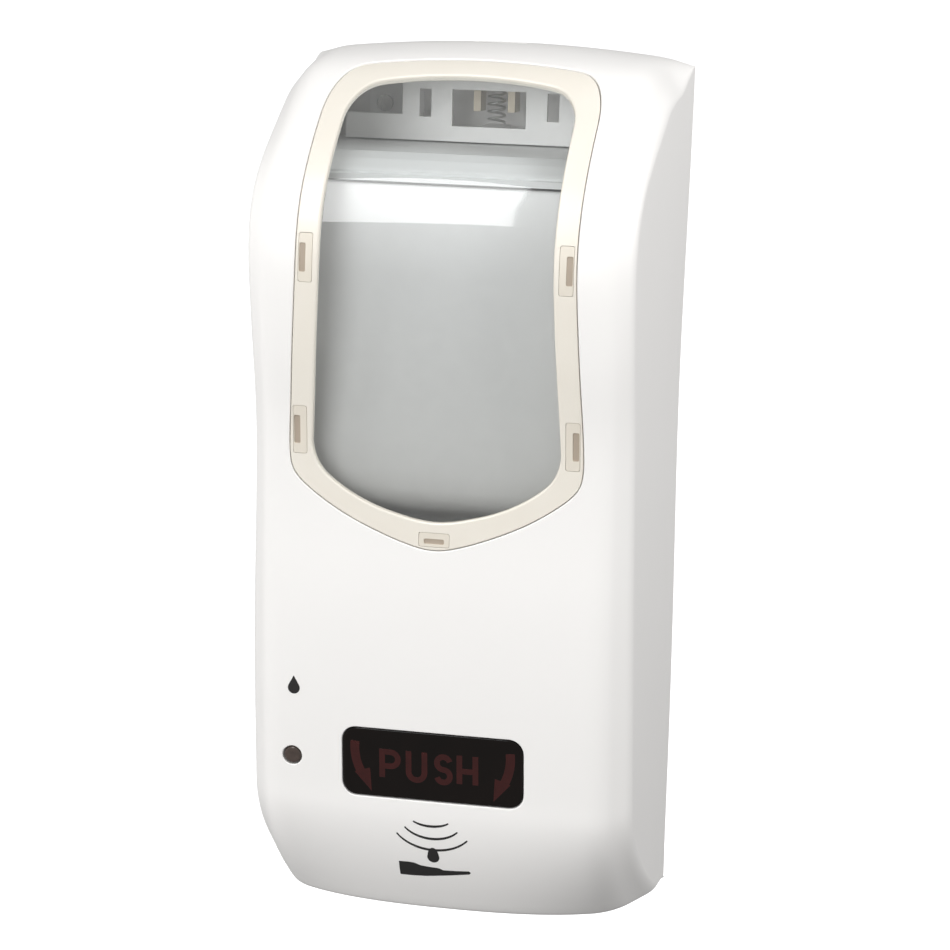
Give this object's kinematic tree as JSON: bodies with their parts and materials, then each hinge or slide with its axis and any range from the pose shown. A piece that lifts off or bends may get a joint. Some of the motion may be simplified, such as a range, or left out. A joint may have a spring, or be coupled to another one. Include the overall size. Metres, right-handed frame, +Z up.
{
  "type": "wall mounted soap dispenser",
  "caption": "Wall mounted soap dispenser with a clear window, push cover hinged at its foot, and a touch-free pump.",
  "frame": {"origin": "middle of the back plate's rear face, on the wall, at half the dispenser's height", "axes": "+X to the right seen from the room, +Y into the wall, +Z up"},
  "size_m": [0.1398, 0.102, 0.308],
  "materials": {
    "cover_white": "semi-gloss moulded ABS",
    "ring_beige": "translucent satin",
    "window_clear": "clear gloss polycarbonate",
    "clip_beige": "satin",
    "panel_black": "black gloss",
    "smoke_lens": "smoked gloss",
    "inner_white": "fine matt",
    "lid_white": "satin",
    "grey_plastic": "satin",
    "tank_milky": "translucent satin",
    "rubber_dark": "matt",
    "acetal": "satin",
    "steel": "bright",
    "motor_steel": "plated",
    "brass": "turned",
    "cell_sleeve": "printed sleeve",
    "board_green": "solder mask",
    "chip_black": "matt epoxy",
    "cap_blue": "printed sleeve",
    "led_red": "diffused"
  },
  "bodies": {
    "wall_unit": {"back_plate": "inner_white", "top_bracket": "inner_white", "latch_spring": "steel", "base_housing": "inner_white", "front_plate": "inner_white", "battery_door": "grey_plastic", "battery_contact_low": "steel", "battery_contact_high": "steel", "reservoir": "tank_milky", "reservoir_lid": "lid_white", "lid_seal": "rubber_dark", "outlet_seal": "rubber_dark", "pump_body": "grey_plastic", "valve_ball": "steel", "pump_spring": "steel", "lever_axle": "steel", "gear_plate": "steel", "gear_axle": "steel", "motor": "motor_steel", "control_board": "board_green", "board_chip": "chip_black", "board_capacitor": "cap_blue", "display_board": "board_green", "led_display": "led_red", "status_led": "led_red", "sensor_board": "board_green", "sensor_emitter": "smoke_lens", "sensor_receiver": "smoke_lens", "battery_1": "cell_sleeve", "plate_screw_1": "steel", "battery_2": "cell_sleeve", "plate_screw_2": "steel", "battery_3": "cell_sleeve", "plate_screw_3": "steel", "battery_4": "cell_sleeve", "plate_screw_4": "steel", "bracket_screw_1": "steel", "bracket_screw_2": "steel"},
    "cover": {"cover_shell": "cover_white", "window_ring": "ring_beige", "window_lens": "window_clear", "display_panel": "panel_black", "status_lens": "smoke_lens", "window_clip_1": "clip_beige", "window_clip_2": "clip_beige", "window_clip_3": "clip_beige", "window_clip_4": "clip_beige", "window_clip_5": "clip_beige"},
    "hinge_rod": {"hinge_rod": "steel"},
    "latch": {"latch_slider": "acetal"},
    "lever": {"push_lever": "grey_plastic"},
    "pump_slide": {"pump_yoke": "acetal", "pump_stem": "acetal", "pump_piston": "rubber_dark", "nozzle_tip": "rubber_dark"},
    "output_gear": {"output_gear": "acetal"},
    "motor_pinion": {"motor_pinion": "brass"}
  },
  "joints": [
    {"name": "cover_press", "type": "hinge", "parent": "wall_unit", "child": "hinge_rod", "pos_m": [0, -0.012, 0.138], "axis": [1, 0, 0], "range_deg": [0, 2], "stiffness_Nm_per_rad": 30},
    {"name": "cover_open", "type": "hinge", "parent": "hinge_rod", "child": "cover", "pos_m": [0, -0.02, -0.144], "axis": [1, 0, 0], "range_deg": [0, 95]},
    {"name": "latch_push", "type": "slide", "parent": "wall_unit", "child": "latch", "axis": [0, 0, -1], "range_m": [0, 0.004], "stiffness_N_per_m": 400, "springref_m": -0.002, "deforming": ["latch_spring"]},
    {"name": "lever_turn", "type": "hinge", "parent": "wall_unit", "child": "lever", "pos_m": [0, -0.012, -0.09], "axis": [1, 0, 0], "range_deg": [-8.1, 0]},
    {"name": "pump_stroke", "type": "slide", "parent": "wall_unit", "child": "pump_slide", "axis": [0, 0, 1], "range_m": [0, 0.0046], "deforming": ["pump_spring"]},
    {"name": "gear_turn", "type": "hinge", "parent": "wall_unit", "child": "output_gear", "pos_m": [0.0255, -0.05, -0.107], "axis": [0, 1, 0], "range_deg": [0, 33]},
    {"name": "motor_turn", "type": "hinge", "parent": "wall_unit", "child": "motor_pinion", "pos_m": [0.04279, -0.05, -0.11329], "axis": [0, 1, 0], "range_deg": [-118, 0]}
  ],
  "couplings": [
    {"joint": "lever_turn", "follows": "cover_press", "ratio": -4},
    {"joint": "pump_stroke", "follows": "cover_press", "m_per_rad": 0.12834},
    {"joint": "gear_turn", "follows": "cover_press", "ratio": 16.043},
    {"joint": "motor_turn", "follows": "cover_press", "ratio": -57.754}
  ]
}
